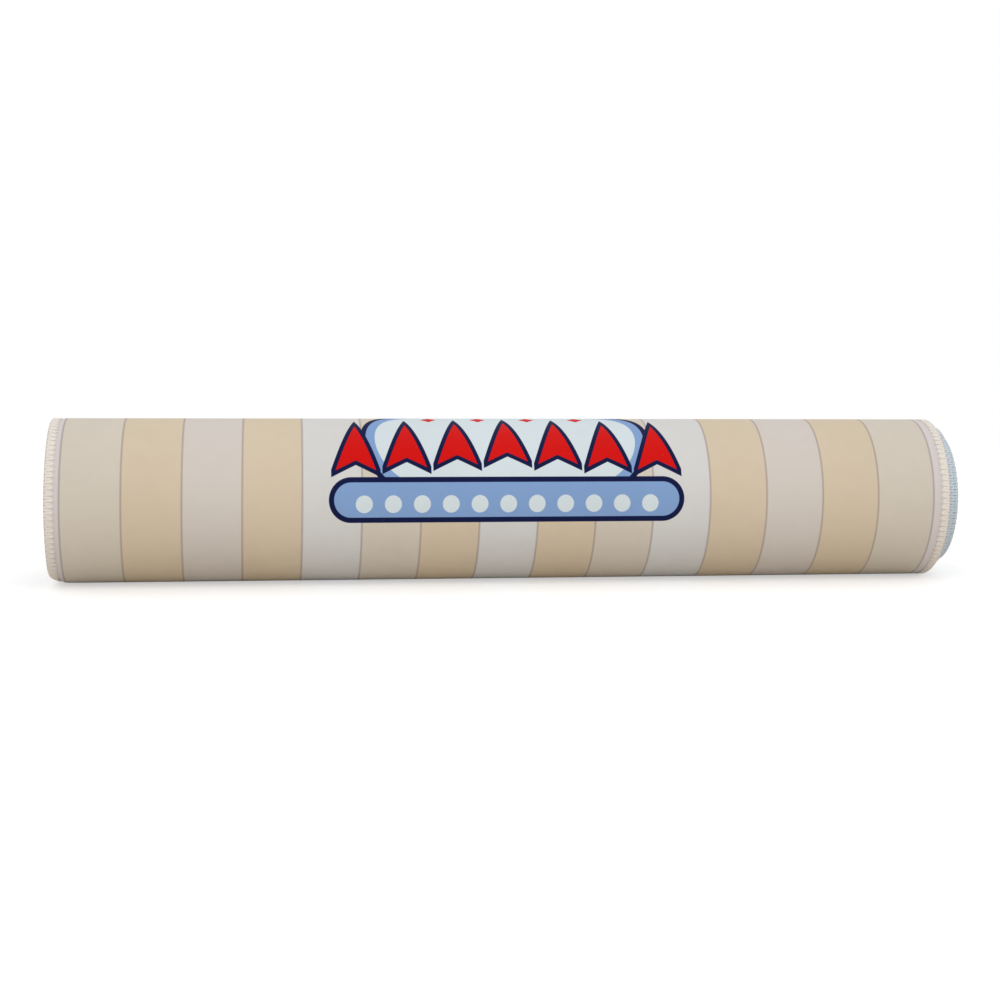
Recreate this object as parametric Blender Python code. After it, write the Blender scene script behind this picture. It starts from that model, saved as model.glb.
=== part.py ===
"""A play mat of cloth bonded to rubber, overlocked along its four sides and rolled up, printed side outwards.

Run with blender --background --python part.py, or from the text editor. Lengths are in metres and +Z is up. The
roll lies along X, on the flat that its own weight gives it, with its loose end behind that flat.

The mat is described as it lies flat: by a distance across it, a distance along it and a depth below its printed
face. A Station says where one line across the flat mat goes when the mat is rolled, and each piece is lofted from
one such line to the next.
"""

import math
from dataclasses import dataclass

import bmesh
import bpy
from mathutils import Vector
from mathutils.geometry import intersect_point_line

MM = 0.001

# The flat mat, measured over its stitching
mat_width = 400 * MM
mat_length = 900 * MM
mat_thickness = 2.7 * MM
cloth_thickness = 0.4 * MM

# The overlock stitching: a needle thread and two looper threads along each side of the mat
thread_thickness = 0.35 * MM
thread_inset = 0.1 * MM  # the stitching lies this far below both faces of the mat
looper_reach = 3.0 * MM  # how far from the raw edge the loopers cover the mat
needle_thread_width = 0.5 * MM
ramp_length = 1.4 * MM  # over which the squeezed edge swells to the mat's full thickness

# The roll
core_radius = 19.4 * MM  # from the roll's axis to the corners of the rubber at the end of the innermost turn
turn_gap = 0.42 * MM  # between one turn's back and the next turn's face
drift_per_turn = 2.9 * MM  # each turn starts this far to the right of the one around it
drift_turns = 2.4  # turns that drift, counted from the loose end; the rest lie level
facets_per_turn = 18
loose_end_facets = 1  # facets between the loose end and the flat that the roll lies on

# Between two pieces that touch on the real mat
clearance = 0.3 * MM

# Sizes that follow
facet_angle = 2 * math.pi / facets_per_turn
loose_end_angle = -math.pi / 2 - facet_angle * (loose_end_facets + 1 / 2)
mitre = 1 / math.cos(facet_angle / 2)
turn_pitch = (mat_thickness + turn_gap) * mitre
facet_climb = turn_pitch / (facets_per_turn - 1)
edge_wrap = clearance + thread_thickness  # the stitching stands this far outside the raw edge
sheet_width = mat_width - 2 * edge_wrap
sheet_length = mat_length - 2 * edge_wrap
needle_start = looper_reach + clearance
needle_end = needle_start + needle_thread_width
seam_width = needle_end + clearance  # the strip that the stitching squeezes
seam_reach = seam_width + ramp_length
edge_dip = thread_inset + thread_thickness + clearance
rubber_depth = cloth_thickness + clearance
thread_bottom = thread_inset + thread_thickness
mid_depth = mat_thickness / 2

# Linear colours and roughness
cloth_colour = (0.65, 0.57, 0.46, 1)
rubber_colour = (0.018, 0.018, 0.02, 1)
thread_colour = (0.74, 0.68, 0.60, 1)
cloth_roughness = 0.85
rubber_roughness = 0.7
thread_roughness = 0.6


@dataclass
class Corner:
    """A corner of the rolled mat's printed face, seen along the roll. Angle 0 is its front, a quarter turn its top."""

    angle: float
    radius: float

    def point(self, depth=0):
        """The place on this corner's radius that lies a depth below the printed face."""
        reach = self.radius - depth * mitre
        return Vector((0, -reach * math.cos(self.angle), reach * math.sin(self.angle)))

    def shift(self):
        """How far the mat has drifted to the right by this corner."""
        turns = (self.angle - loose_end_angle) / (2 * math.pi)
        return drift_per_turn * min(turns, drift_turns)


@dataclass
class Station:
    """A line across the mat: its place when rolled, and its distances from the two ends of the sheet."""

    face: Vector
    inward: Vector
    shift: float
    from_loose_end: float
    from_core_end: float

    def place(self, across, depth):
        """Where a point of the flat mat goes when the mat is rolled."""
        return self.face + self.inward * depth + Vector((self.shift + across, 0, 0))


def next_corner(corner, facet):
    """The corner at the far side of a facet. The facets that the roll lies on stay level; the others climb."""
    level = facet % facets_per_turn == loose_end_facets
    return Corner(corner.angle + facet_angle, corner.radius - (0 if level else facet_climb))


def core_end_corner(corner, length):
    """The far end of the last, straight stretch, drawn in so that it stays clear of the turn around it."""
    radius = corner.radius / mitre - clearance
    cosine = (corner.radius**2 + radius**2 - length**2) / (2 * corner.radius * radius)
    return Corner(corner.angle + math.acos(cosine), radius)


def roll_radius():
    """The radius of the printed face's corners at the loose end, which leaves the core its radius.

    Halfway through its thickness, a facet at radius r is 2 r sin(facet_angle / 2) long, and r grows by a pitch in
    each turn, so the sheet's length is the difference of two squared radii times a factor.
    """
    core_middle = core_radius + (mat_thickness - mid_depth) * mitre
    length_factor = facets_per_turn * math.sin(facet_angle / 2) / turn_pitch
    return math.sqrt(core_middle**2 + sheet_length / length_factor) + mid_depth * mitre


def roll_corners():
    """The roll's corners, from the loose end inwards. The sheet's length is measured halfway through it."""
    corners = [Corner(loose_end_angle, roll_radius())]
    left = sheet_length
    while True:
        last = corners[-1]
        after = next_corner(last, len(corners) - 1)
        length = (after.point(mid_depth) - last.point(mid_depth)).length
        if left < length + seam_reach + ramp_length:
            return corners + [core_end_corner(last, left)]
        corners.append(after)
        left -= length


class Roll:
    """The rolled mat's printed face as a chain of straight facets, and the stations on it."""

    def __init__(self):
        self.corners = roll_corners()
        self.points = [corner.point() for corner in self.corners]
        steps = [far - near for near, far in zip(self.points, self.points[1:])]
        self.lengths = [step.length for step in steps]
        self.directions = [step.normalized() for step in steps]
        self.length = sum(self.lengths)

    def inward(self, facet):
        """The direction from a facet's printed face towards the roll's axis."""
        direction = self.directions[facet]
        return Vector((0, direction.z, -direction.y))

    def corner_station(self, index):
        """The station at a corner between two facets, mitred so that both keep their thickness."""
        before, after = self.inward(index - 1), self.inward(index)
        mitred = (before + after) / (1 + before.dot(after))
        along = sum(self.lengths[:index])
        return Station(self.points[index], mitred, self.corners[index].shift(), along, self.length - along)

    def straight_station(self, facet, along):
        """A station on one facet, at a distance along the mat that may lie a little past the facet's end."""
        step = along - sum(self.lengths[:facet])
        near, far = self.corners[facet].shift(), self.corners[facet + 1].shift()
        share = min(max(step / self.lengths[facet], 0), 1)
        face = self.points[facet] + self.directions[facet] * step
        return Station(face, self.inward(facet), near + (far - near) * share, along, self.length - along)

    def loose_end_station(self, distance):
        """A station on the first facet, at a distance from the sheet's loose end."""
        return self.straight_station(0, distance)

    def core_end_station(self, distance):
        """A station on the last facet, at a distance from the end that lies inside the roll."""
        return self.straight_station(len(self.lengths) - 1, self.length - distance)

    def stations(self, end_distances):
        """Stations along the whole mat: those distances from the loose end, every corner, and from the core end."""
        loose_end = [self.loose_end_station(distance) for distance in end_distances]
        corners = [self.corner_station(index) for index in range(1, len(self.lengths))]
        core_end = [self.core_end_station(distance) for distance in reversed(end_distances)]
        return loose_end + corners + core_end


def squeeze(distance):
    """The share of the edge's dip at a distance from a raw edge: all under the stitching, none past the ramp."""
    return min(max((seam_reach - distance) / ramp_length, 0), 1)


def sheet_rings(roll, top_depth, bottom_depth):
    """Rings round a full-size sheet, whose two depths are functions of the squeeze."""
    stops = [0, seam_width, seam_reach]
    across_stops = stops + [sheet_width - stop for stop in reversed(stops)]
    rings = []
    for station in roll.stations(stops):
        from_end = min(station.from_loose_end, station.from_core_end)
        dips = [squeeze(min(across, sheet_width - across, from_end)) for across in across_stops]
        top = [station.place(across, top_depth(dip)) for across, dip in zip(across_stops, dips)]
        bottom = [station.place(across, bottom_depth(dip)) for across, dip in zip(across_stops, dips)]
        rings.append(top + bottom[::-1])
    return rings


def cloth_rings(roll):
    """The printed cloth, which dips under the stitching."""
    return sheet_rings(roll, lambda dip: edge_dip * dip, lambda dip: edge_dip * dip + cloth_thickness)


def rubber_rings(roll):
    """The rubber base under the cloth, squeezed from both faces under the stitching."""
    return sheet_rings(roll, lambda dip: edge_dip * dip + rubber_depth, lambda dip: mat_thickness - edge_dip * dip)


def needle_outline():
    """The needle thread's section, as distances in from the raw edge and depths below the printed face."""
    return [
        (needle_start, thread_inset),
        (needle_end, thread_inset),
        (needle_end, thread_bottom),
        (needle_start, thread_bottom),
    ]


def face_looper_outline():
    """The section of the looper thread that covers the printed face and wraps half of the raw edge."""
    wrap_depth = mid_depth - clearance / 2
    return [
        (looper_reach, thread_inset),
        (-edge_wrap, thread_inset),
        (-edge_wrap, wrap_depth),
        (-clearance, wrap_depth),
        (-clearance, thread_bottom),
        (looper_reach, thread_bottom),
    ]


def back_looper_outline():
    """The section of the looper thread on the rubber side, the mirror image of the one on the face."""
    return [(distance, mat_thickness - depth) for distance, depth in face_looper_outline()]


def side_seam_rings(roll, outline, across_from_edge):
    """A thread along one of the mat's long sides. It runs past both raw ends, to close the corners."""
    return [
        [station.place(across_from_edge(distance), depth) for distance, depth in outline]
        for station in roll.stations([-edge_wrap])
    ]


def end_seam_rings(outline, station_from_end):
    """A thread across one end of the mat, between the stitching of its two long sides."""
    section = [(station_from_end(distance), depth) for distance, depth in outline]
    return [
        [station.place(across, depth) for station, depth in section]
        for across in (seam_width, sheet_width - seam_width)
    ]


def make_material(name, colour, roughness):
    """A plain finish."""
    material = bpy.data.materials.new(name)
    material.use_nodes = True
    shader = material.node_tree.nodes["Principled BSDF"]
    shader.inputs["Base Color"].default_value = colour
    shader.inputs["Roughness"].default_value = roughness
    shader.inputs["Metallic"].default_value = 0
    return material


def loft(name, rings, colour, roughness):
    """A closed solid through rings of points, shaded smooth over its facets."""
    work = bmesh.new()
    loops = [[work.verts.new(point) for point in ring] for ring in rings]
    for near, far in zip(loops, loops[1:]):
        for index in range(len(near)):
            work.faces.new((near[index - 1], near[index], far[index], far[index - 1]))
    for cap in (loops[0], loops[-1]):
        work.faces.new(cap)
    bmesh.ops.recalc_face_normals(work, faces=work.faces)
    mesh = bpy.data.meshes.new(name)
    work.to_mesh(mesh)
    work.free()
    mesh.shade_smooth()
    mesh.set_sharp_from_angle(angle=math.radians(40))
    mesh.materials.append(make_material(name, colour, roughness))
    return bpy.data.objects.new(name, mesh)


def make_pieces(roll):
    """Every piece of the mat, as objects built round the roll's axis."""
    pieces = [
        loft("printed_cloth", cloth_rings(roll), cloth_colour, cloth_roughness),
        loft("rubber_base", rubber_rings(roll), rubber_colour, rubber_roughness),
    ]
    threads = {
        "needle_thread": needle_outline(),
        "face_looper_thread": face_looper_outline(),
        "back_looper_thread": back_looper_outline(),
    }
    long_sides = {"left": lambda distance: distance, "right": lambda distance: sheet_width - distance}
    ends = {"loose_end": roll.loose_end_station, "core_end": roll.core_end_station}
    for thread, outline in threads.items():
        for side, across_from_edge in long_sides.items():
            rings = side_seam_rings(roll, outline, across_from_edge)
            pieces.append(loft(f"{side}_{thread}", rings, thread_colour, thread_roughness))
        for end, station_from_end in ends.items():
            rings = end_seam_rings(outline, station_from_end)
            pieces.append(loft(f"{end}_{thread}", rings, thread_colour, thread_roughness))
    return pieces


def place_on_ground(pieces):
    """Hangs the pieces on the roll's axis and sets it so that they stand on the ground, centred on the origin."""
    points = [vertex.co for piece in pieces for vertex in piece.data.vertices]
    lows = [min(point[axis] for point in points) for axis in range(3)]
    highs = [max(point[axis] for point in points) for axis in range(3)]
    axis_empty = bpy.data.objects.new("roll_axis", None)
    axis_empty.location = (-(lows[0] + highs[0]) / 2, -(lows[1] + highs[1]) / 2, -lows[2])
    collection = bpy.data.collections.new("rolled_bowling_mat")
    bpy.context.scene.collection.children.link(collection)
    collection.objects.link(axis_empty)
    for piece in pieces:
        collection.objects.link(piece)
        piece.parent = axis_empty


def distance_to_segment(point, near, far):
    """How far a point is from a straight segment."""
    closest, share = intersect_point_line(point, near, far)
    return (point - near.lerp(far, min(max(share, 0), 1))).length


def least_turn_gap(roll):
    """The least distance from a turn's face to the back of the turn around it, measured at corners and midpoints."""
    stations = roll.stations([0])
    faces = [station.face for station in stations]
    backs = [station.face + station.inward * mat_thickness for station in stations]
    middles = [(near + far) / 2 for near, far in zip(faces, faces[1:])]
    half_turn = facets_per_turn // 2
    return min(
        distance_to_segment(point, backs[outer], backs[outer + 1])
        for index in range(half_turn, len(middles))
        for point in (faces[index], middles[index], faces[index + 1])
        for outer in range(index - half_turn)
    )


def main():
    """Clears the scene, builds the mat and prints how tightly it is rolled."""
    for old in list(bpy.data.objects):
        bpy.data.objects.remove(old)
    roll = Roll()
    place_on_ground(make_pieces(roll))
    turns = (roll.corners[-1].angle - loose_end_angle) / (2 * math.pi)
    print(f"{turns:.2f} turns, least gap between turns {least_turn_gap(roll) / MM:.2f} mm")


main()
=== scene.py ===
"""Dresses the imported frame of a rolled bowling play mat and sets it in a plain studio.

Lengths are in metres, and those of print and materials in millimetres. The mat is described as it lies flat: across
it from its left edge, along it from its loose end, and up from its printed face. Each piece is modelled flat and
then wound up by Roll. Its UV map keeps where it lay on the flat mat, so print, knit and thread colours follow it.
"""

import logging
import math
from collections.abc import Sequence
from dataclasses import dataclass, field
from enum import Enum
from typing import Any, ClassVar

import bmesh
import bpy
from bmesh.types import BMesh, BMVert
from bpy.types import Material, Mesh, Node, NodeSocket, NodeTree, Object, World
from mathutils import Matrix, Vector, noise


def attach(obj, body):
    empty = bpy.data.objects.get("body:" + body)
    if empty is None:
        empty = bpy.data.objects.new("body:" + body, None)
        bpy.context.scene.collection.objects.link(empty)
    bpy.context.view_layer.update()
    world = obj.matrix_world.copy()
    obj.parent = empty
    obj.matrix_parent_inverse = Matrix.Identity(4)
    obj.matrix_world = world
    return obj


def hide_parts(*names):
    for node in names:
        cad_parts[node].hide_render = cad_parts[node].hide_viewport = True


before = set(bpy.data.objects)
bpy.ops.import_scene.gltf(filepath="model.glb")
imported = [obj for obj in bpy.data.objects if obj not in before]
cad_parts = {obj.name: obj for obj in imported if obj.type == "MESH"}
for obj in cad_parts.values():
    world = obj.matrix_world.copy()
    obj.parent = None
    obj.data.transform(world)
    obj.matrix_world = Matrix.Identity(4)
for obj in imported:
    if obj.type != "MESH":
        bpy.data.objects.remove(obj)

LOG = logging.getLogger("play_mat")
MM = 0.001
TURN = 2 * math.pi
CREASE = math.radians(50)
FLAT_MAP = "flat"
YARN_MAP = "yarn"

Colour = tuple[float, float, float, float]
Triple = tuple[float, float, float]
Range = tuple[float, float]
Wires = dict[str, NodeSocket]
Trio = tuple[NodeSocket, NodeSocket, NodeSocket]


def paint(red: int, green: int, blue: int) -> Colour:
    """Turns a colour of 0 to 255 as a screen shows it into the linear one that a shader takes.

    Args:
        red: The colour's red.
        green: Its green.
        blue: Its blue.

    Returns:
        The linear colour, with full alpha.
    """
    shown = (red / 255, green / 255, blue / 255)
    linear = [c / 12.92 if c <= 0.04045 else ((c + 0.055) / 1.055) ** 2.4 for c in shown]
    return (*linear, 1.0)


def eased(share: float) -> float:
    """A smooth step from 0 to 1 as share goes from 0 to 1."""
    share = min(max(share, 0.0), 1.0)
    return share * share * (3 - 2 * share)


def spread(marks: Sequence[float], share: float) -> float:
    """Reads a list of rising marks at a share of its length.

    Args:
        marks: The values, one for each equal step.
        share: From 0, the first mark, to 1, the last.

    Returns:
        The value there, between the two nearest marks.
    """
    at = share * (len(marks) - 1)
    rounding = 1e-6
    low = min(int(at + rounding), len(marks) - 2)
    return marks[low] + (marks[low + 1] - marks[low]) * (at - low)


def linked(name: str, data: Any) -> Object:
    """Makes an object of a mesh, lamp or camera and links it to the scene.

    Args:
        name: The object's name.
        data: What it shows.

    Returns:
        The new object, at the origin.
    """
    made: Object = bpy.data.objects.new(name, data)
    bpy.context.scene.collection.objects.link(made)
    return made


class Side(Enum):
    """A side of the mat, with how far the stitches' own axes turn to run along it."""

    LEFT = ("left", 0)
    RIGHT = ("right", 180)
    LOOSE_END = ("loose_end", 90)
    CORE_END = ("core_end", 270)

    def __init__(self, label: str, turn: float) -> None:
        """Keeps the side's name and turn."""
        self.label = label
        self.turn = math.radians(turn)

    @property
    def is_end(self) -> bool:
        """Whether the side is one of the mat's two short ends."""
        return self in (Side.LOOSE_END, Side.CORE_END)


class ThreadKind(Enum):
    """The three threads of an overlock seam, named as the CAD names their nodes."""

    NEEDLE = "needle_thread"
    FACE_LOOPER = "face_looper_thread"
    BACK_LOOPER = "back_looper_thread"


class Slot(Enum):
    """Names of three material slots."""

    CLOTH = "printed_cloth"
    RUBBER = "rubber_base"
    THREAD = "thread"


@dataclass(frozen=True)
class Mat:
    """The flat mat's sizes. Width and length are measured over the stitching.

    Shaped holds where the lines of a sheet's mesh lie near its raw edge, in millimetres in from it.
    """

    width: float = 400 * MM
    length: float = 900 * MM
    thickness: float = 2.9 * MM
    cloth: float = 0.5 * MM
    glue: float = 0.02 * MM
    raw_edge: float = 0.5 * MM
    seam: float = 4.3 * MM
    swell: float = 1.7 * MM
    squeeze: float = 0.36 * MM
    bulge: float = 0.25 * MM
    rounding: float = 0.35 * MM
    shaped: tuple[float, ...] = (0, 0.06, 0.16, 0.35, 0.9, 2.2, 3.6, 4.1, 4.5, 4.9, 5.3, 5.8, 6.8)

    def pressed(self, across: float, along: float) -> float:
        """How far the stitching presses each face of the mat in.

        Args:
            across: Distance from the left edge.
            along: Distance from the loose end.

        Returns:
            The depth of the dip there, 0 away from the edges.
        """
        inset = min(across, self.width - across, along, self.length - along)
        dip = self.squeeze * (1 - eased((inset - self.seam) / self.swell))
        bent = min(max((self.raw_edge + self.rounding - inset) / self.rounding, 0.0), 1.0)
        return dip + self.rounding * (1 - math.sqrt(1 - bent * bent))

    def marks(self, whole: float, step: float, bulge: float) -> list[float]:
        """Places for the lines of a sheet's mesh, close together where the stitching shapes it.

        Args:
            whole: The mat's width or length.
            step: The widest distance between two lines.
            bulge: How far the sheet's edge is squeezed out past the cloth's.

        Returns:
            Rising distances from one raw edge to the other.
        """
        near = [self.raw_edge + mark * MM for mark in self.shaped]
        if bulge:
            near.insert(0, self.raw_edge - bulge)
        middle = whole - 2 * near[-1]
        count = math.ceil(middle / step)
        between = [near[-1] + middle * i / count for i in range(1, count)]
        return near + between + [whole - mark for mark in reversed(near)]


@dataclass(frozen=True)
class Roll:
    """Winds the flat mat up. Angle 0 is the roll's front and a quarter turn its top."""

    mat: Mat
    left: float = -203.05 * MM
    axis_y: float = 0.8386 * MM
    axis_z: float = 37.2478 * MM
    outer_radius: float = 37.6 * MM
    pitch: float = 3.12 * MM
    start_angle: float = math.radians(-120)
    outer_drift: float = 2.07 * MM
    outer_turns: float = 0.9
    inner_drift: float = 4.6 * MM
    inner_turns: float = 1.1
    spring: float = 0.3 * MM
    core_spring: float = 0.42 * MM
    spring_reach: float = 9 * MM
    sink: float = 0.2 * MM
    give: float = 10 * MM
    softness: float = 0.1 * MM
    clearance: float = 0.01 * MM
    taper: float = 0.35 * MM
    curl: float = 2.3 * MM
    curl_width: float = 9 * MM
    curl_reach: float = math.radians(43)
    curl_fade: float = math.radians(30)
    curl_rise: float = math.radians(20)

    def turned(self, along: float) -> float:
        """The angle that the mat has turned through from its loose end.

        Args:
            along: Distance from the loose end.

        Returns:
            The angle there.
        """
        climb = self.pitch / TURN
        middle = self.outer_radius - self.mat.thickness / 2
        return (middle - math.sqrt(middle * middle - 2 * climb * along)) / climb

    def shifted(self, turns: float) -> float:
        """How far the mat has crept towards the roll's right end, after some turns from its loose end."""
        outer = min(turns, self.outer_turns)
        return self.outer_drift * outer + self.inner_drift * min(turns - outer, self.inner_turns)

    def curled(self, across: float, angle: float) -> float:
        """How far the left edge curls in at the loose end's corner, and the turns under it with it.

        Args:
            across: Distance along the roll from the loose end's left corner.
            angle: How far the mat has turned from its loose end.

        Returns:
            The distance that it lies closer to the roll's axis.
        """
        edge = max(1 - across / self.curl_width, 0.0)
        past = (angle + math.pi) % TURN - math.pi
        away = (past - self.curl_reach) / self.curl_fade if past > 0 else -past / self.curl_rise
        return self.curl * edge * edge * (1 - eased(away))

    def wound(self, flat: Vector) -> Vector:
        """Where a point of the flat mat goes when the mat is rolled up.

        Args:
            flat: The point, as across, along and up.

        Returns:
            Its place in the row's frame.
        """
        angle = self.turned(flat.y)
        turns = angle / TURN
        across = flat.x + self.shifted(turns)
        tighter = self.taper * flat.x / self.mat.width
        radius = self.outer_radius - self.pitch * turns - tighter + flat.z
        radius += self.spring * math.exp(-flat.y / self.spring_reach) - self.curled(across, angle)
        radius -= self.core_spring * math.exp((flat.y - self.mat.length) / self.spring_reach)
        angle += self.start_angle
        back = self.axis_y - radius * math.cos(angle)
        up = self.axis_z - self.sink - tighter + radius * math.sin(angle)
        return self.settled(Vector((self.left + across, back, up)))

    def settled(self, point: Vector) -> Vector:
        """Raises a point where the table presses the roll's lowest part flat.

        Args:
            point: A point of the round roll.

        Returns:
            The point, raised by less the higher it lies, and never below the table.
        """
        reach = self.outer_radius**2 - (point.y - self.axis_y) ** 2
        if reach <= 0 or point.z > self.axis_z:
            return point
        lowest = self.axis_z - self.sink - math.sqrt(reach)
        lift = (math.hypot(lowest, self.softness) - lowest) / 2
        point.z = max(point.z + lift * math.exp(-max(point.z, 0) / self.give), self.clearance)
        return point

    def wind(self, bm: BMesh) -> None:
        """Rolls a flat mesh up, after writing where it lay flat to its UV map.

        Args:
            bm: The mesh, in across, along and up.
        """
        flat_map = bm.loops.layers.uv.get(FLAT_MAP) or bm.loops.layers.uv.new(FLAT_MAP)
        for face in bm.faces:
            for loop in face.loops:
                loop[flat_map].uv = loop.vert.co.xy
        for vert in bm.verts:
            vert.co = self.wound(vert.co)


def dressed(name: str, bm: BMesh, material: Material, node: str) -> Object:
    """Makes a piece of a finished mesh, dresses it and lets it stand for its CAD node.

    Args:
        name: The piece's name.
        bm: Its mesh, in the row's frame. It is freed.
        material: What it is dressed in.
        node: The CAD node that it replaces.

    Returns:
        The new object, which rides on the frame.
    """
    mesh: Mesh = bpy.data.meshes.new(name)
    bm.to_mesh(mesh)
    bm.free()
    mesh.shade_smooth()
    mesh.set_sharp_from_angle(angle=CREASE)
    mesh.materials.append(material)
    made = linked(name, mesh)
    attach(made, "root")
    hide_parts(node)
    LOG.info("%s: %d faces, for %s", name, len(mesh.polygons), node)
    return made


class Wiring:
    """Adds nodes to one node tree and links them."""

    def __init__(self, tree: NodeTree) -> None:
        """Keeps the tree that the nodes go into."""
        self.tree = tree

    @classmethod
    def afresh(cls, owner: Material | World) -> "Wiring":
        """Empties the node tree of a material or world.

        Args:
            owner: What the tree belongs to.

        Returns:
            The wiring of the empty tree.
        """
        owner.use_nodes = True
        owner.node_tree.nodes.clear()
        return cls(owner.node_tree)

    def feed(self, socket: NodeSocket, value: Any) -> None:
        """Links a socket to another one, or gives it a plain value.

        Args:
            socket: The socket that is fed.
            value: The other socket, or the value.
        """
        if isinstance(value, NodeSocket):
            self.tree.links.new(value, socket)
        else:
            socket.default_value = value

    def node(self, kind: str, feeds: dict[str | int, Any] | None = None, **settings: Any) -> Node:
        """Adds a shader node.

        Args:
            kind: Its type, without the leading ShaderNode.
            feeds: What goes into its sockets, by name or number.
            **settings: Its other properties.

        Returns:
            The node.
        """
        made = self.tree.nodes.new("ShaderNode" + kind)
        for name, value in settings.items():
            setattr(made, name, value)
        for socket, value in (feeds or {}).items():
            self.feed(made.inputs[socket], value)
        return made

    def math(self, operation: str, *values: Any) -> NodeSocket:
        """A Math node's result."""
        return self.node("Math", dict(enumerate(values)), operation=operation).outputs[0]

    def minus(self, one: Any, other: Any) -> NodeSocket:
        """What is left of one value without the other."""
        return self.math("SUBTRACT", one, other)

    def times(self, one: Any, other: Any) -> NodeSocket:
        """The product of two values."""
        return self.math("MULTIPLY", one, other)

    def greater(self, one: Any, other: Any) -> NodeSocket:
        """The greater of two values."""
        return self.math("MAXIMUM", one, other)

    def held(self, value: Any, low: float, high: float) -> NodeSocket:
        """A value kept between two others."""
        return self.math("MINIMUM", self.greater(value, low), high)

    def size(self, value: Any) -> NodeSocket:
        """A value without its sign."""
        return self.math("ABSOLUTE", value)

    def wave(self, value: Any, length: float) -> NodeSocket:
        """A sine wave of a value, one wave for each length of it."""
        return self.math("SINE", self.times(value, TURN / length))

    def split(self, vector: NodeSocket) -> Trio:
        """The three parts of a vector."""
        parts = self.node("SeparateXYZ", {0: vector}).outputs
        return parts[0], parts[1], parts[2]

    def blend(self, share: Any, under: Any, over: Any, how: str = "MIX") -> NodeSocket:
        """Lays one colour over another by a share of it, or mixes the two in another mode."""
        mixed = self.node("Mix", {0: share, 6: under, 7: over}, data_type="RGBA", blend_type=how)
        return mixed.outputs[2]

    def ramped(self, value: Any, span: tuple[Any, Any] = (0.0, 1.0), shown: Range = (0.0, 1.0)) -> NodeSocket:
        """Maps a value smoothly from a span of its own to what is shown there, held at both ends."""
        feeds = dict(enumerate((value, *span, *shown)))
        return self.node("MapRange", feeds, interpolation_type="SMOOTHSTEP").outputs[0]

    def noise(self, place: NodeSocket, scale: Any, detail: float) -> NodeSocket:
        """A cloud of noise, about 0.5 on average, with as many finer ones mixed in as detail says."""
        return self.node("TexNoise", {"Vector": place, "Scale": scale, "Detail": detail}).outputs[0]

    def flat_place(self) -> NodeSocket:
        """The piece's own place on the flat mat, in millimetres."""
        place = self.node("UVMap", uv_map=FLAT_MAP).outputs[0]
        return self.node("VectorMath", {0: place, 1: (1 / MM, 1 / MM, 0)}, operation="MULTIPLY").outputs[0]

    def seen(self) -> NodeSocket:
        """Whether a ray is the camera's own, or comes to it by way of a mirror or glass."""
        rays = self.node("LightPath").outputs
        return self.greater(self.greater(rays["Is Camera Ray"], rays["Is Glossy Ray"]), rays["Is Transmission Ray"])


class Effect:
    """An effect that materials share, kept as one shader node group."""

    title: ClassVar[str]
    takes: ClassVar[dict[str, Any]]
    gives: ClassVar[dict[str, str]]

    @classmethod
    def wire(cls, w: Wiring, taken: Wires) -> Wires:
        """Adds the group's inner nodes between its inputs and its outputs, both by name."""
        raise NotImplementedError

    @classmethod
    def tree(cls) -> NodeTree:
        """The effect's group, built the first time that it is asked for.

        Returns:
            The group.
        """
        made = bpy.data.node_groups.get(cls.title)
        if made is not None:
            return made
        made = bpy.data.node_groups.new(cls.title, "ShaderNodeTree")
        for name, start in cls.takes.items():
            kind = "NodeSocketVector" if isinstance(start, tuple) else "NodeSocketFloat"
            socket = made.interface.new_socket(name, in_out="INPUT", socket_type=kind)
            socket.default_value = start
        for name, kind in cls.gives.items():
            made.interface.new_socket(name, in_out="OUTPUT", socket_type=kind)
        way_in = made.nodes.new("NodeGroupInput")
        way_out = made.nodes.new("NodeGroupOutput")
        shown = cls.wire(Wiring(made), {name: way_in.outputs[name] for name in cls.takes})
        for name, socket in shown.items():
            made.links.new(socket, way_out.inputs[name])
        return made

    @classmethod
    def place(cls, w: Wiring, **feeds: Any) -> Wires:
        """Places the group in a material.

        Args:
            w: The material's wiring.
            **feeds: What goes into its sockets, by name.

        Returns:
            Its outputs, by name.
        """
        node = w.tree.nodes.new("ShaderNodeGroup")
        node.node_tree = cls.tree()
        for name, value in feeds.items():
            w.feed(node.inputs[name], value)
        return {name: node.outputs[name] for name in cls.gives}


class Ink(Effect):
    """A printed shape's mask, from the distance to its outline in millimetres, below 0 inside it."""

    title = "ink"
    takes = {"Distance": 0.0, "Bleed": 0.12}
    gives = {"Mask": "NodeSocketFloat"}

    @classmethod
    def wire(cls, w: Wiring, taken: Wires) -> Wires:
        """Fades the ink out over the width that it bleeds."""
        inside = w.times(taken["Bleed"], -1)
        return {"Mask": w.ramped(taken["Distance"], (taken["Bleed"], inside))}


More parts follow.
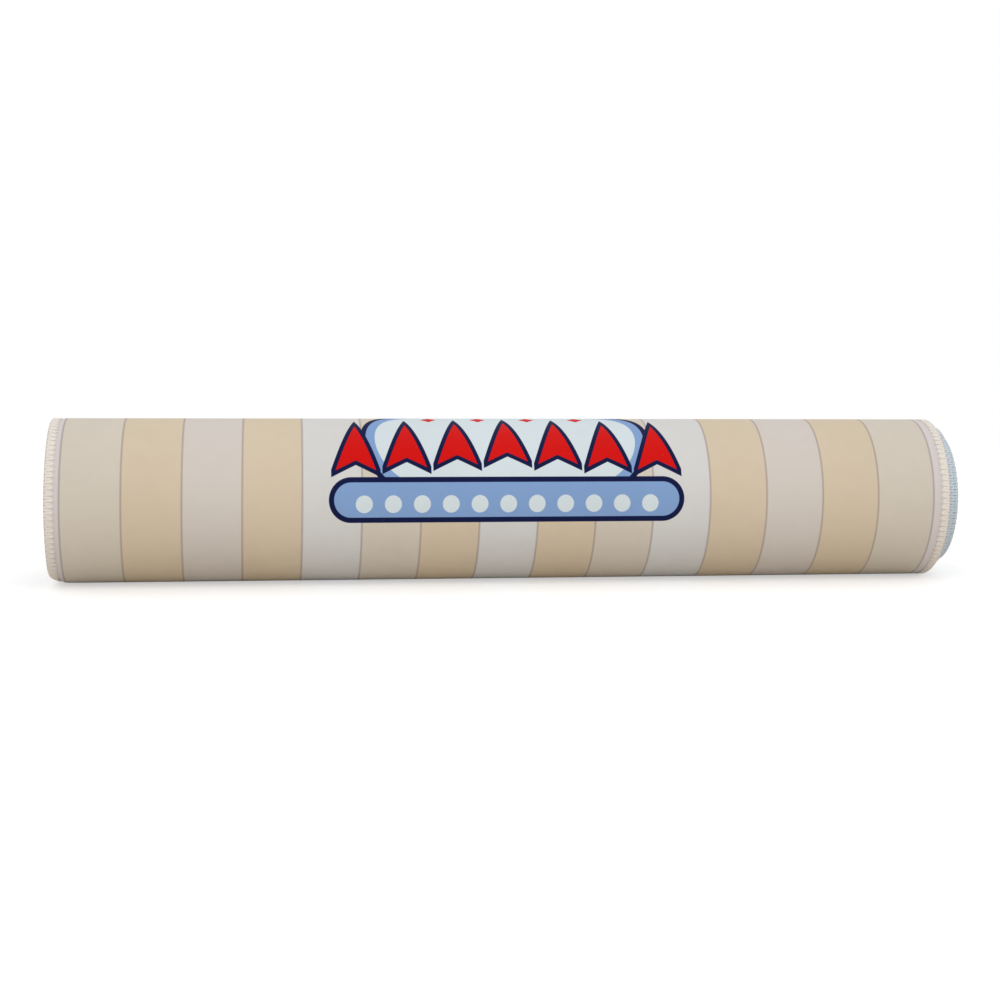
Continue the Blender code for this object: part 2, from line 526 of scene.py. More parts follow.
class Handling(Effect):
    """Broad, faint unevenness from handling and dust."""

    title = "handling"
    takes = {"Place": (0.0, 0.0, 0.0), "Patch": 40.0}
    gives = {"Mottle": "NodeSocketFloat", "Speck": "NodeSocketFloat"}

    broad_detail = 3.0
    fine_detail = 2.0
    finer = 9.0
    fine_share = 0.35
    dust = 60.0
    mottled = (0.3, 0.7)
    specked = (0.7, 0.8)

    @classmethod
    def wire(cls, w: Wiring, taken: Wires) -> Wires:
        """Mixes a broad cloud with a finer one and picks out a few specks.

        Args:
            w: The group's wiring.
            taken: The place, and how many millimetres a patch is wide.

        Returns:
            The mottle and the specks, each from 0 to 1.
        """
        place = taken["Place"]
        patch = w.math("DIVIDE", 1.0, taken["Patch"])
        broad = w.noise(place, patch, cls.broad_detail)
        fine = w.noise(place, w.times(patch, cls.finer), cls.fine_detail)
        dust = w.noise(place, w.times(patch, cls.dust), cls.fine_detail)
        mixed = w.math("MULTIPLY_ADD", fine, cls.fine_share, w.times(broad, 1 - cls.fine_share))
        return {"Mottle": w.ramped(mixed, cls.mottled), "Speck": w.ramped(dust, cls.specked)}


class BoardPrint(Effect):
    """The dyed-in ground of the print: boards, their joints, the margin outside them and the lane's borders."""

    title = "board_print"
    takes = {"Place": (0.0, 0.0, 0.0)}
    gives = {"Colour": "NodeSocketColor"}

    woods = {"b": paint(217, 208, 194), "t": paint(218, 202, 177), "g": paint(216, 208, 200), "p": paint(219, 218, 216)}
    boards = "btgtpbtptbptgtb"
    margin = paint(221, 214, 213)
    joint = paint(128, 104, 112)
    border = paint(140, 170, 184)
    foul_line = paint(38, 44, 84)
    first_joint = 6.6
    board_width = 25.69
    joint_width = 0.8
    joint_bleed = 0.3
    joint_depth = 0.46
    approach = 215.0
    lane_middle = 200.0
    half_lane = 168.0
    foul_line_width = 5.0

    @classmethod
    def wire(cls, w: Wiring, taken: Wires) -> Wires:
        """Draws the boards by a ramp across the mat, and then what lies over them.

        Args:
            w: The group's wiring.
            taken: The place on the flat mat.

        Returns:
            The ground's colour.
        """
        across, along, _ = w.split(taken["Place"])
        count = len(cls.boards)
        middle = count / 2
        counted = w.math("DIVIDE", w.minus(across, cls.first_joint), cls.board_width)
        board = w.math("ADD", w.math("FLOOR", counted), 0.5)
        ramp = w.node("ValToRGB", {0: w.math("DIVIDE", board, float(count))})
        ramp.color_ramp.interpolation = "CONSTANT"
        stops = ramp.color_ramp.elements
        for number, letter in enumerate(cls.boards):
            stop = stops[number] if number < 2 else stops.new(1.0)
            stop.position = number / count
            stop.color = cls.woods[letter]
        nearest = w.held(w.math("ROUND", counted), 0.0, float(count))
        away = w.times(w.size(w.minus(counted, nearest)), cls.board_width)
        joint = Ink.place(w, Distance=w.minus(away, cls.joint_width / 2), Bleed=cls.joint_bleed)["Mask"]
        outside = w.times(w.minus(w.size(w.minus(counted, middle)), middle), -cls.board_width)
        colour = w.blend(Ink.place(w, Distance=outside)["Mask"], ramp.outputs[0], cls.margin)
        colour = w.blend(w.times(joint, cls.joint_depth), colour, cls.joint)
        gutter = w.minus(cls.half_lane, w.size(w.minus(across, cls.lane_middle)))
        past = w.minus(cls.approach, along)
        colour = w.blend(Ink.place(w, Distance=w.greater(gutter, past))["Mask"], colour, cls.border)
        line = w.minus(w.size(past), cls.foul_line_width / 2)
        return {"Colour": w.blend(Ink.place(w, Distance=line)["Mask"], colour, cls.foul_line)}


class Knit(Effect):
    """The cloth's fine knitted loops, in columns along the mat."""

    title = "knit"
    takes = {"Place": (0.0, 0.0, 0.0), "Column": 0.62, "Course": 0.5}
    gives = {"Height": "NodeSocketFloat", "Shade": "NodeSocketFloat"}

    lean = 1.4
    loop_depth = 0.22
    rib_depth = 0.5
    shaded = (-0.2, 0.7)

    @classmethod
    def wire(cls, w: Wiring, taken: Wires) -> Wires:
        """Leans each column's two legs against each other and cuts them into loops.

        Args:
            w: The group's wiring.
            taken: The place, and the width of a column and of a course.

        Returns:
            The height, and how far a point stands out of the hollows from 0 to 1.
        """
        across, along, _ = w.split(taken["Place"])
        leg = w.math("PINGPONG", w.math("DIVIDE", across, taken["Column"]), 0.5)
        loop = w.wave(w.math("MULTIPLY_ADD", leg, cls.lean, w.math("DIVIDE", along, taken["Course"])), 1.0)
        height = w.math("MULTIPLY_ADD", loop, cls.loop_depth, w.times(w.wave(leg, 1.0), cls.rib_depth))
        return {"Height": height, "Shade": w.ramped(height, cls.shaded)}


@dataclass(frozen=True)
class Emblem:
    """The plain design printed where the boards start: a dotted bar, and lane darts over a panel with gems.

    Each place says how far along the mat a shape's middle lies, or a dart's wings. Gems stand between darts.
    """

    middle: float = 199.0
    navy: Colour = paint(12, 22, 68)
    red: Colour = paint(216, 12, 8)
    blue: Colour = paint(134, 166, 213)
    white: Colour = paint(218, 229, 234)
    outline: float = 2.3
    panel_place: float = 108.0
    panel_halves: Range = (62.0, 27.0)
    panel_rim: float = 4.0
    bar_place: float = 79.0
    bar_halves: Range = (76.0, 7.4)
    dot_place: float = 77.2
    dot_radius: float = 3.7
    dot_pitch: float = 12.6
    dots_aside: int = 5
    gem_place: float = 126.0
    gem_reach: float = 3.6
    dart_place: float = 95.6
    dart_drop: float = 1.3
    dart_pitch: float = 22.2
    darts_aside: int = 3
    dart_half: float = 8.8
    dart_height: float = 25.5
    dart_notch: float = 4.5
    dart_outline: float = 1.9

    def bar(self, w: Wiring, across: NodeSocket, along: NodeSocket, halves: Range) -> NodeSocket:
        """The distance to a bar with round ends.

        Args:
            w: The material's wiring.
            across: Distance from the bar's middle across the mat.
            along: Distance from it along the mat.
            halves: Half of the bar's width and half of its height.

        Returns:
            The distance to its outline, below 0 inside it.
        """
        past = w.greater(w.minus(w.size(across), halves[0] - halves[1]), 0.0)
        reach = w.math("SQRT", w.math("MULTIPLY_ADD", past, past, w.times(along, along)))
        return w.minus(reach, halves[1])

    def dart(self, w: Wiring, across: NodeSocket, along: NodeSocket) -> NodeSocket:
        """The distance to a notched arrowhead that points along the mat.

        Args:
            w: The material's wiring.
            across: Distance from its middle across the mat.
            along: Distance from its wings along the mat.

        Returns:
            The distance to its outline, below 0 inside it.
        """
        off = w.size(across)
        shape = w.minus(off, self.dart_half)
        for height, side in ((self.dart_height, 1), (self.dart_notch, -1)):
            slope = side * math.hypot(height, self.dart_half)
            reach = w.math("MULTIPLY_ADD", off, height / slope, w.times(along, self.dart_half / slope))
            shape = w.greater(w.minus(reach, height * self.dart_half / slope), shape)
        return shape

    def repeated(self, w: Wiring, across: NodeSocket, pitch: float, most: int) -> tuple[NodeSocket, NodeSocket]:
        """The distance from the nearest middle of a row of shapes, and that shape's number from the row's own."""
        number = w.held(w.math("ROUND", w.math("DIVIDE", across, pitch)), float(-most), float(most))
        return w.math("MULTIPLY_ADD", number, -pitch, across), w.size(number)

    def draw(self, w: Wiring, place: NodeSocket, ground: NodeSocket) -> NodeSocket:
        """Prints the design over the ground, one ink after another.

        Args:
            w: The material's wiring.
            place: Where the cloth lay on the flat mat.
            ground: The colour under the design.

        Returns:
            The colour with the design on it.
        """
        x, y, _ = w.split(place)
        x = w.minus(x, self.middle)
        panel = self.bar(w, x, w.minus(y, self.panel_place), self.panel_halves)
        low = self.bar(w, x, w.minus(y, self.bar_place), self.bar_halves)
        dot, _ = self.repeated(w, x, self.dot_pitch, self.dots_aside)
        dots = self.bar(w, dot, w.minus(y, self.dot_place), (self.dot_radius, self.dot_radius))
        pair = w.size(w.minus(w.size(x), self.dart_pitch))
        gem = w.size(w.minus(pair, self.dart_pitch / 2))
        gems = w.minus(w.math("ADD", gem, w.size(w.minus(y, self.gem_place))), self.gem_reach)
        step, number = self.repeated(w, x, self.dart_pitch, self.darts_aside)
        darts = self.dart(w, step, w.math("MULTIPLY_ADD", number, self.dart_drop, w.minus(y, self.dart_place)))
        inks = (
            (panel, self.outline, self.navy),
            (panel, 0.0, self.blue),
            (panel, -self.panel_rim, self.white),
            (gems, 0.0, self.red),
            (low, self.outline, self.navy),
            (low, 0.0, self.blue),
            (dots, 0.0, self.white),
            (darts, self.dart_outline, self.navy),
            (darts, 0.0, self.red),
        )
        colour = ground
        for distance, grow, ink in inks:
            colour = w.blend(Ink.place(w, Distance=w.minus(distance, grow))["Mask"], colour, ink)
        return colour


@dataclass(frozen=True)
class Finish:
    """A material with a Principled shader, whose plain values are set on its own sockets."""

    name: str
    sheen: float
    specular: float
    roughness: Range
    relief: float
    depth: float
    patch: float

    def surface(self, w: Wiring) -> Trio:
        """Wires what changes over the surface: the colour, the roughness and the height."""
        raise NotImplementedError

    def material(self) -> Material:
        """Builds the material.

        Returns:
            The material.
        """
        made = bpy.data.materials.new(self.name)
        w = Wiring.afresh(made)
        shader = w.node("BsdfPrincipled", {"Sheen Weight": self.sheen, "Specular IOR Level": self.specular})
        colour, roughness, height = self.surface(w)
        w.feed(shader.inputs["Base Color"], colour)
        w.feed(shader.inputs["Roughness"], roughness)
        bump = w.node("Bump", {"Height": height, "Strength": self.relief, "Distance": self.depth})
        w.feed(shader.inputs["Normal"], bump.outputs[0])
        w.node("OutputMaterial", {"Surface": shader.outputs[0]})
        return made


@dataclass(frozen=True)
class ClothFinish(Finish):
    """Matt knitted polyester, with the print dyed in."""

    name: str = "printed_cloth"
    sheen: float = 0.06
    specular: float = 0.12
    roughness: Range = (0.82, 0.92)
    relief: float = 0.35
    depth: float = 0.06 * MM
    patch: float = 70.0
    emblem: Emblem = field(default_factory=Emblem)
    # Painted shade: a dark colour multiplied into the knit's hollows.
    hollow_shade: Colour = paint(120, 108, 96)
    hollow_shade_share: float = 0.07
    soil: Colour = paint(196, 190, 184)
    soil_share: float = 0.06
    dust: Colour = paint(236, 232, 226)
    dust_share: float = 0.12

    def surface(self, w: Wiring) -> Trio:
        """Wires the print, the knit, painted shade in the knit's hollows, and a little soil and dust.

        Args:
            w: The material's wiring.

        Returns:
            The colour, the roughness and the height.
        """
        place = w.flat_place()
        colour = self.emblem.draw(w, place, BoardPrint.place(w, Place=place)["Colour"])
        knit = Knit.place(w, Place=place)
        wear = Handling.place(w, Place=place, Patch=self.patch)
        # Painted shade: the colour is darkened where the knit sits low in its hollows.
        hollow_shade_mask = w.ramped(knit["Shade"], shown=(self.hollow_shade_share, 0.0))
        colour = w.blend(hollow_shade_mask, colour, self.hollow_shade, "MULTIPLY")
        soiled = w.ramped(wear["Mottle"], shown=(0.0, self.soil_share))
        colour = w.blend(soiled, colour, self.soil, "MULTIPLY")
        colour = w.blend(w.times(wear["Speck"], self.dust_share), colour, self.dust)
        return colour, w.ramped(wear["Mottle"], shown=self.roughness), knit["Height"]


@dataclass(frozen=True)
class RubberFinish(Finish):
    """Black foamed rubber with a fine non-slip relief."""

    name: str = "rubber_base"
    sheen: float = 0.0
    specular: float = 0.35
    roughness: Range = (0.62, 0.8)
    relief: float = 0.6
    depth: float = 0.15 * MM
    patch: float = 26.0
    rib_pitch: float = 1.9
    rib_top: float = 0.4
    cells: float = 2.6
    cell_depth: float = 0.3
    # The darker colour is painted shade in the rib valleys; the lighter one is on the rib crests.
    low: Colour = paint(26, 26, 28)
    high: Colour = paint(40, 40, 42)
    dust: Colour = paint(66, 64, 62)
    dust_share: float = 0.25

    def surface(self, w: Wiring) -> Trio:
        """Wires two crossing rows of ribs, painted shade in the valleys between them, the foam's cells and a little
        dust.

        Args:
            w: The material's wiring.

        Returns:
            The colour, the roughness and the height.
        """
        place = w.flat_place()
        across, along, _ = w.split(place)
        one = w.wave(w.math("ADD", across, along), self.rib_pitch)
        other = w.wave(w.minus(across, along), self.rib_pitch)
        ribs = w.greater(w.size(one), w.size(other))
        wear = Handling.place(w, Place=place, Patch=self.patch)
        cells = w.node("TexVoronoi", {"Vector": place, "Scale": self.cells}).outputs[0]
        # Painted shade: darker in the valleys between the ribs, lighter on their crests.
        colour = w.blend(w.ramped(ribs, (self.rib_top, 1.0)), self.low, self.high)
        colour = w.blend(w.times(wear["Mottle"], self.dust_share), colour, self.dust)
        height = w.math("MULTIPLY_ADD", cells, self.cell_depth, ribs)
        return colour, w.ramped(wear["Mottle"], shown=self.roughness), height


@dataclass(frozen=True)
class ThreadFinish(Finish):
    """Soft textured polyester thread, which takes the print's colour as the cloth under it does."""

    name: str = "overlock_thread"
    sheen: float = 0.25
    specular: float = 0.25
    roughness: Range = (0.68, 0.86)
    relief: float = 0.6
    depth: float = 0.08 * MM
    patch: float = 9.0
    cream: Colour = paint(244, 236, 227)
    blue: Colour = paint(215, 228, 238)
    bleed: float = 1.2
    # Painted shade on the blue thread's sides, where they turn away from its crown towards the gaps between threads.
    side_shade: Colour = paint(112, 138, 150)
    side_shade_share: float = 0.6
    side_shaded: Range = (-0.2, 0.9)
    twists: float = 14.0
    slant: float = 2.0
    ply_depth: float = 0.5
    fuzz: float = 5.5
    fuzz_detail: float = 3.0
    fuzz_depth: float = 0.8
    fuzzy: Range = (0.3, 0.7)
    # Painted shade in the grooves between the thread's plies and fuzz.
    groove_shade: Colour = paint(172, 160, 150)
    groove_shade_share: float = 0.14
    groove_shaded: Range = (-0.2, 0.9)
    soil: Colour = paint(214, 206, 198)
    soil_share: float = 0.18

    def surface(self, w: Wiring) -> Trio:
        """Wires the dye, painted shade on the blue thread's sides and in the grooves of plies and fuzz, the twisted
        plies, the fuzz and a little soil.

        Args:
            w: The material's wiring.

        Returns:
            The colour, the roughness and the height.
        """
        place = w.flat_place()
        _, along, _ = w.split(place)
        blue = Ink.place(w, Distance=w.minus(BoardPrint.approach, along), Bleed=self.bleed)["Mask"]
        around, run, _ = w.split(w.node("UVMap", uv_map=YARN_MAP).outputs[0])
        crown = w.math("COSINE", w.times(around, TURN))
        # Painted shade: the blue thread is darkened on its sides, away from its crown.
        side_shade_mask = w.times(blue, w.ramped(crown, self.side_shaded, (self.side_shade_share, 0.0)))
        colour = w.blend(side_shade_mask, w.blend(blue, self.cream, self.blue), self.side_shade)
        ply = w.wave(w.math("MULTIPLY_ADD", run, self.twists, w.times(around, self.slant)), 1.0)
        fuzz = w.noise(place, self.fuzz, self.fuzz_detail)
        height = w.math("MULTIPLY_ADD", fuzz, self.fuzz_depth, w.times(ply, self.ply_depth))
        # Painted shade: the colour is darkened where the thread's height is low.
        groove_shade_mask = w.ramped(height, self.groove_shaded, (self.groove_shade_share, 0.0))
        colour = w.blend(groove_shade_mask, colour, self.groove_shade, "MULTIPLY")
        wear = Handling.place(w, Place=place, Patch=self.patch)
        colour = w.blend(w.times(wear["Mottle"], self.soil_share), colour, self.soil, "MULTIPLY")
        return colour, w.ramped(fuzz, self.fuzzy, self.roughness), height


@dataclass(frozen=True)
class Sheets:
    """The two bonded sheets of the mat: the printed cloth and the rubber behind it."""

    mat: Mat
    roll: Roll
    across_step: float = 9 * MM
    along_step: float = 2.6 * MM

    def layer(self, top: float, follows_back: bool) -> BMesh:
        """Models one sheet and winds it up.

        Args:
            top: How far its upper side lies below the printed face.
            follows_back: Whether its lower side is the mat's back, which the stitching presses up.

        Returns:
            The closed sheet, rolled up.
        """
        mat = self.mat
        thickness = mat.thickness - top if follows_back else mat.cloth
        bulge = mat.bulge if follows_back else 0.0
        columns = mat.marks(mat.width, self.across_step, bulge)
        rows = mat.marks(mat.length, self.along_step, bulge)
        half = 0.5
        bm = bmesh.new()
        bmesh.ops.create_grid(bm, x_segments=len(columns) - 1, y_segments=len(rows) - 1, size=half)
        for vert in bm.verts:
            vert.co.x = spread(columns, vert.co.x + half)
            vert.co.y = spread(rows, vert.co.y + half)
        bmesh.ops.solidify(bm, geom=bm.faces[:], thickness=thickness)
        highest = max(vert.co.z for vert in bm.verts)
        for vert in bm.verts:
            dip = mat.pressed(vert.co.x, vert.co.y)
            upper = highest - vert.co.z < thickness / 2
            if upper or not follows_back:
                vert.co.z += -highest - top - dip
            else:
                vert.co.z = dip - mat.thickness
        self.roll.wind(bm)
        bmesh.ops.recalc_face_normals(bm, faces=bm.faces)
        return bm

    def cloth(self, material: Material) -> Object:
        """Makes the printed cloth."""
        bm = self.layer(0.0, follows_back=False)
        return dressed("knit_cloth", bm, material, "printed_cloth")

    def rubber(self, material: Material) -> Object:
        """Makes the rubber behind the cloth."""
        bm = self.layer(self.mat.cloth + self.mat.glue, follows_back=True)
        return dressed("foam_rubber", bm, material, "rubber_base")


@dataclass(frozen=True)
class Bend:
    """A place on a thread's path over one stitch.

    Inset is the distance from the seam's outer edge and height that from the printed face, in millimetres. Share
    is how much of the stitch has gone by. Lean is how far the mat's surface there turns from face up towards the
    outside, in degrees, and width is a share of the thread's own width.
    """

    inset: float
    share: float
    height: float
    lean: float = 0.0
    width: float = 1.0


@dataclass(frozen=True)
class Overlock:
    """The overlock seam of one side of the mat, made of three threads.

    Looper and needle are the threads' widths and heights. Leg is the looper's way from the needle's hole over the
    face to the middle of the raw edge, and arch the needle thread's way from one hole to the middle of its stitch.
    """

    side: Side
    mat: Mat
    roll: Roll
    stitch: float = 2.56 * MM
    looper: Range = (1.32 * MM, 0.4 * MM)
    needle: Range = (0.42 * MM, 0.34 * MM)
    sides: int = 5
    weld: float = 0.002 * MM
    wander: float = 0.09 * MM
    wander_seeds: Range = (0.0, 9.1)
    wander_pace: float = 0.3
    wander_reach: float = 2 * MM
    overlap: float = 0.22 * MM
    overlap_reach: float = 0.8 * MM
    bunch: float = 1.4 * MM
    corner_gap: float = 0.15 * MM
    leg: tuple[Bend, ...] = (
        Bend(4.12, 0.0, -0.40, width=0.55),
        Bend(3.50, 0.22, -0.17, width=0.95),
        Bend(1.00, 0.255, -0.14, lean=8),
        Bend(0.42, 0.30, -0.46, lean=50, width=0.7),
        Bend(0.25, 0.37, -1.00, lean=86, width=0.55),
        Bend(0.22, 0.50, -1.46, lean=90, width=0.48),
    )
    arch: tuple[Bend, ...] = (Bend(3.86, 0.0, -0.52, width=0.6), Bend(3.86, 0.2, -0.12), Bend(3.86, 0.5, -0.06))

    @property
    def length(self) -> float:
        """The length of the side that the seam runs along."""
        return self.mat.width if self.side.is_end else self.mat.length

    def whole(self, half: Sequence[Bend]) -> list[Bend]:
        """Adds a path's mirrored second half."""
        back = [Bend(b.inset, 1 - b.share, b.height, b.lean, b.width) for b in reversed(half[:-1])]
        return [*half, *back]

    def behind(self, path: list[Bend]) -> list[Bend]:
        """Turns a path over the mat's face over to its back."""
        depth = self.mat.thickness / MM
        return [Bend(b.inset, b.share, -depth - b.height, 180 - b.lean, b.width) for b in path]

    def steps(self, path: list[Bend], stitch: float, size: Range) -> list[Matrix]:
        """Places a flattened ring at each bend of a path, across the thread there.

        Args:
            path: The bends over one stitch.
            stitch: The stitch's length.
            size: The thread's width along the mat's surface and its height above it.

        Returns:
            One matrix for each bend, which takes a round ring of radius 1 to its place.
        """
        width, height = size
        points = [Vector((b.inset * MM, b.share * stitch, b.height * MM)) for b in path]
        onward = Vector((0, stitch, 0))
        around = [points[-2] - onward, *points, points[1] + onward]
        found = []
        for number, bend in enumerate(path):
            ahead = (around[number + 2] - around[number]).normalized()
            lean = math.radians(bend.lean)
            up = Vector((-math.sin(lean), 0, math.cos(lean)))
            aside = up.cross(ahead).normalized()
            up = ahead.cross(aside)
            axes = Matrix((aside * bend.width * width / 2, up * height / 2, ahead * MM)).transposed()
            found.append(Matrix.Translation(points[number]) @ axes.to_4x4())
        return found

    def thread(self, path: list[Bend], stitch: float, size: Range) -> BMesh:
        """Models a thread over one stitch, by drawing a ring out along its path.

        Args:
            path: The bends over one stitch.
            stitch: The stitch's length.
            size: The thread's width and height.

        Returns:
            An open tube with a UV map that says how far round the thread and along the stitch it goes.
        """
        bm = bmesh.new()
        yarn = bm.loops.layers.uv.new(YARN_MAP)
        steps = self.steps(path, stitch, size)
        ring = bmesh.ops.create_circle(bm, radius=1, segments=self.sides, matrix=steps[0])["verts"]
        turn = {vert: number for number, vert in enumerate(ring)}
        run = {vert: 0.0 for vert in ring}
        edges = bm.edges[:]
        for number, (here, there) in enumerate(zip(steps, steps[1:]), 1):
            before = ring
            grown = bmesh.ops.extrude_edge_only(bm, edges=edges)["geom"]
            ring = [part for part in grown if isinstance(part, BMVert)]
            for vert in ring:
                twin = min(before, key=lambda old: (old.co - vert.co).length_squared)
                turn[vert] = turn[twin]
                run[vert] = number / (len(steps) - 1)
            bmesh.ops.transform(bm, matrix=there @ here.inverted(), verts=ring)
            onward = [(edge, edge.other_vert(vert), vert) for vert in ring for edge in vert.link_edges]
            edges = [edge for edge, end, vert in onward if end in ring and turn[vert] < turn[end]]
        for face in bm.faces:
            wraps = {turn[vert] for vert in face.verts} == {0, self.sides - 1}
            for loop in face.loops:
                place = turn[loop.vert]
                place = self.sides if wraps and place == 0 else place
                loop[yarn].uv = (place / self.sides, run[loop.vert])
        return bm

    def sewn(self, bm: BMesh, stitch: float, count: int, start: float) -> None:
        """Repeats one stitch along the seam, turns it to its side of the mat and winds it up.

        Args:
            bm: The thread over one stitch.
            stitch: The stitch's length.
            count: How many stitches the seam has.
            start: Where the first one begins.
        """
        whole = bm.verts[:] + bm.edges[:] + bm.faces[:]
        step = (0, stitch, 0)
        bmesh.ops.spin(bm, geom=whole, axis=(0, 0, 1), dvec=step, angle=0, steps=count - 1, use_duplicate=True)
        bmesh.ops.remove_doubles(bm, verts=bm.verts, dist=self.weld)
        open_ends = [edge for edge in bm.edges if edge.is_boundary]
        bmesh.ops.holes_fill(bm, edges=open_ends, sides=self.sides)
        for vert in bm.verts:
            seed = Vector((self.wander_pace * vert.co.y / MM, self.side.turn, self.wander_seeds[0]))
            vert.co.y += start + self.wander * noise.noise(seed)
            seed.z = self.wander_seeds[1]
            vert.co.x += self.wander * noise.noise(seed) * min(vert.co.x / self.wander_reach, 1.0)
            vert.co.y = self.bunched(vert.co.y)
            if self.side.is_end:
                self.overlaid(vert)
        across = self.mat.width if self.side in (Side.RIGHT, Side.LOOSE_END) else 0
        along = self.mat.length if self.side in (Side.RIGHT, Side.CORE_END) else 0
        placed = Matrix.Translation((across, along, 0)) @ Matrix.Rotation(self.side.turn, 4, "Z")
        bmesh.ops.transform(bm, matrix=placed, verts=bm.verts)
        self.roll.wind(bm)
        bmesh.ops.recalc_face_normals(bm, faces=bm.faces)

    def bunched(self, along: float) -> float:
        """Pushes stitches that would run past a corner back onto the mat, closer together.

        Args:
            along: Where a point of the thread is along the seam.

        Returns:
            Where it ends up.
        """
        inset = min(along, self.length - along)
        if inset >= self.bunch:
            return along
        room = self.bunch - self.corner_gap
        push = self.bunch - room * math.tanh((self.bunch - inset) / room) - inset
        return along + push if inset == along else along - push

    def overlaid(self, vert: BMVert) -> None:
        """Lifts an end seam over the side seam that it crosses at a corner of the mat.

        Args:
            vert: A point of the end seam, before it is turned to its side.
        """
        inset = min(vert.co.y, self.mat.width - vert.co.y)
        over = 1 - eased((inset - self.mat.seam) / self.overlap_reach)
        middle = -self.mat.thickness / 2
        vert.co.z = middle + (vert.co.z - middle) * (1 + over * self.overlap / -middle)

    def build(self, material: Material) -> list[Object]:
        """Makes the seam's three threads.

        Args:
            material: The thread's material.

        Returns:
            The pieces, one for each thread.
        """
        start = self.mat.raw_edge
        count = round((self.length - 2 * start) / self.stitch)
        stitch = (self.length - 2 * start) / count
        legs = self.whole(self.leg)
        arches = self.whole(self.arch)
        runs = {
            ThreadKind.NEEDLE: [(arches, self.needle), (self.behind(arches), self.needle)],
            ThreadKind.FACE_LOOPER: [(legs, self.looper)],
            ThreadKind.BACK_LOOPER: [(self.behind(legs), self.looper)],
        }
        made = []
        for kind, paths in runs.items():
            bm = bmesh.new()
            late = 1 if kind is ThreadKind.BACK_LOOPER else 0
            for path, size in paths:
                part = self.thread(path, stitch, size)
                self.sewn(part, stitch, count + late, start - late * stitch / 2)
                mesh = bpy.data.meshes.new("stitch")
                part.to_mesh(mesh)
                part.free()
                bm.from_mesh(mesh)
                bpy.data.meshes.remove(mesh)
            name = f"{self.side.label}_{kind.value}"
            made.append(dressed(name + "_stitches", bm, material, name))
        return made


@dataclass(frozen=True)
class TableFinish:
    """A plain pale table, which turns to pure white away from the roll and is clear from below."""

    name: str = "table"
    pale: Colour = (0.68, 0.68, 0.68, 1.0)
    bounce: Colour = (0.75, 0.708, 0.648, 1.0)
    glow: float = 0.5
    clear: Range = (0.3, 0.7)

    def material(self) -> Material:
        """Builds the table's material.

        Returns:
            The material.
        """
        made = bpy.data.materials.new(self.name)
        w = Wiring.afresh(made)
        seen = w.seen()
        pale = w.node("BsdfDiffuse", {"Color": w.blend(seen, self.bounce, self.pale)})
        glow = w.node("Emission", {"Strength": w.times(seen, self.glow)})
        lit = w.node("AddShader", {0: pale.outputs[0], 1: glow.outputs[0]})
        away = w.node("VectorMath", {0: w.node("TexCoord").outputs["Object"]}, operation="LENGTH").outputs["Value"]
        far = w.times(seen, w.ramped(away, self.clear))
        white = w.node("Emission", {"Strength": 1.0})
        lit = w.node("MixShader", {0: far, 1: lit.outputs[0], 2: white.outputs[0]})
        below = w.node("NewGeometry").outputs["Backfacing"]
        mixed = w.node("MixShader", {0: below, 1: lit.outputs[0], 2: w.node("BsdfTransparent").outputs[0]})
        w.node("OutputMaterial", {"Surface": mixed.outputs[0]})
        return made


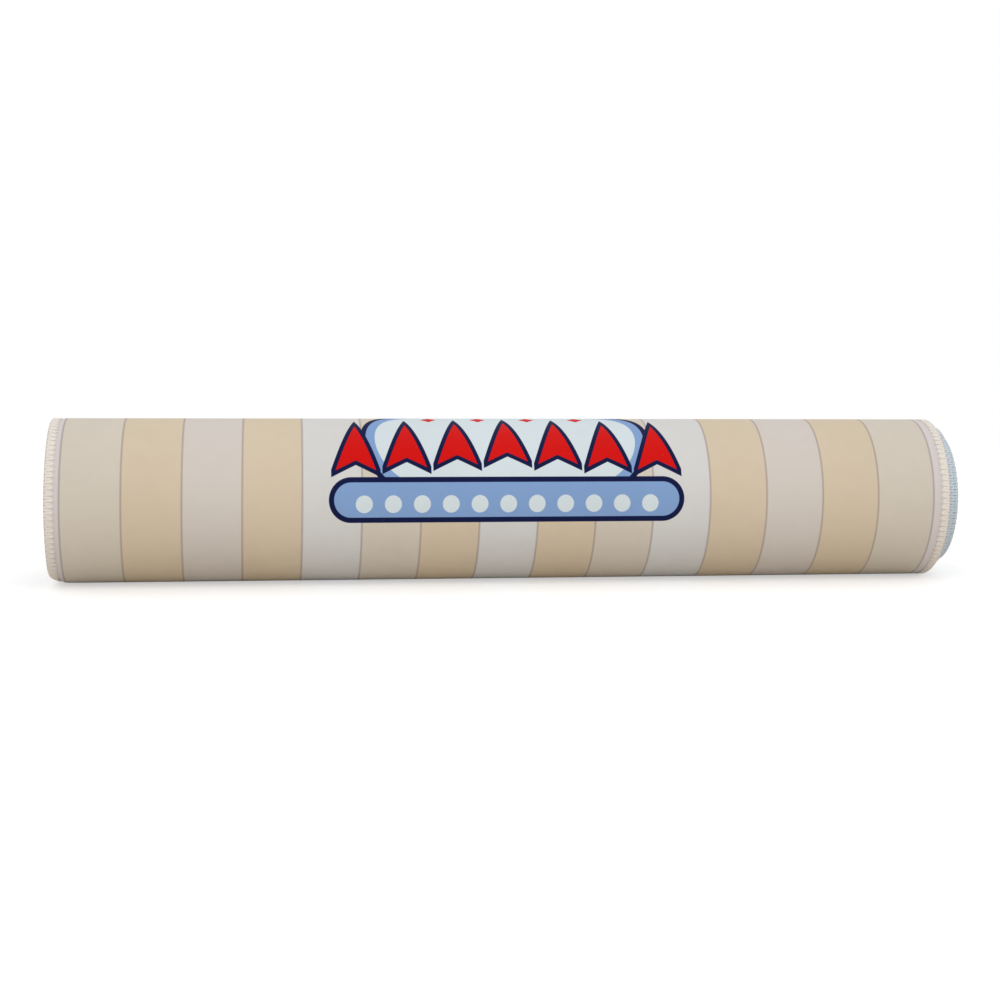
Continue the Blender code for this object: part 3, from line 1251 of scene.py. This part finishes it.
@dataclass(frozen=True)
class Studio:
    """The camera, the table and the light. Right, up and forward are the camera's own axes before it is tilted."""

    roll: Roll
    lens: float = 66.79
    sensor: float = 36.0
    clip: Range = (0.05, 50.0)
    elevation: float = math.radians(9)
    twist: float = math.radians(-0.08)
    distance: float = 839.7 * MM
    aside: float = -108.85 * MM
    lower: float = 0.94 * MM
    right: Triple = (0.992076, -0.125561, -0.0043403)
    up: Triple = (0.0044419, 0.00052908, 0.99999)
    forward: Triple = (0.125557, 0.992086, -0.0010826)
    floor_size: float = 8.0
    sky: float = 0.84
    lamp_power: float = 0.74
    lamp_size: Range = (0.45, 0.3)
    lamp_place: Triple = (-0.02, -0.5, 0.48)

    def camera(self) -> None:
        """Puts the camera where the picture was taken from."""
        data = bpy.data.cameras.new("camera")
        data.lens = self.lens
        data.sensor_width = self.sensor
        data.clip_start, data.clip_end = self.clip
        camera = linked("camera", data)
        tilt = Matrix.Rotation(-self.elevation, 3, "X")
        place = tilt @ Vector((self.aside, -self.distance, 0))
        place += Vector((0, self.roll.axis_y, self.roll.axis_z - self.lower))
        axes = Matrix((Vector(self.right), Vector(self.up), -Vector(self.forward))).transposed()
        twist = Matrix.Rotation(self.twist, 3, "Z")
        camera.matrix_world = Matrix.Translation(place) @ (tilt @ axes @ twist).to_4x4()
        bpy.context.scene.camera = camera

    def floor(self) -> None:
        """Lays the pale table under the roll."""
        bm = bmesh.new()
        bmesh.ops.create_grid(bm, x_segments=1, y_segments=1, size=self.floor_size / 2)
        mesh = bpy.data.meshes.new("table")
        bm.to_mesh(mesh)
        bm.free()
        mesh.materials.append(TableFinish().material())
        table = linked("table", mesh)

    def light(self) -> None:
        """Lights the roll from a wide lamp above its front and from the sky all round."""
        data = bpy.data.lights.new("lamp", "AREA")
        data.shape = "RECTANGLE"
        data.size, data.size_y = self.lamp_size
        data.energy = self.lamp_power
        lamp = linked("lamp", data)
        lamp.visible_camera = False
        aim = Vector((0, self.roll.axis_y, self.roll.axis_z)) - Vector(self.lamp_place)
        turned = aim.to_track_quat("-Z", "Y").to_matrix().to_4x4()
        lamp.matrix_world = Matrix.Translation(self.lamp_place) @ turned
        world = bpy.data.worlds.new("sky")
        w = Wiring.afresh(world)
        strength = w.ramped(w.seen(), shown=(self.sky, 1.0))
        sky = w.node("Background", {"Color": (1, 1, 1, 1), "Strength": strength})
        w.node("OutputWorld", {"Surface": sky.outputs[0]})
        bpy.context.scene.world = world

    def build(self) -> None:
        """Sets the studio up."""
        self.camera()
        self.floor()
        self.light()
        bpy.context.scene.view_settings.view_transform = "Standard"
        LOG.info("studio: camera, table and light")


def main() -> None:
    logging.basicConfig(level=logging.INFO, format="%(name)s %(message)s")
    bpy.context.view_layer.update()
    mat = Mat()
    roll = Roll(mat)
    Studio(roll).build()
    sheets = Sheets(mat, roll)
    rubber = sheets.rubber(RubberFinish().material())
    cloth = sheets.cloth(ClothFinish().material())
    thread = ThreadFinish().material()
    stitches = [piece for side in Side for piece in Overlock(side, mat, roll).build(thread)]
    mat.length


if __name__ == "__main__":
    main()
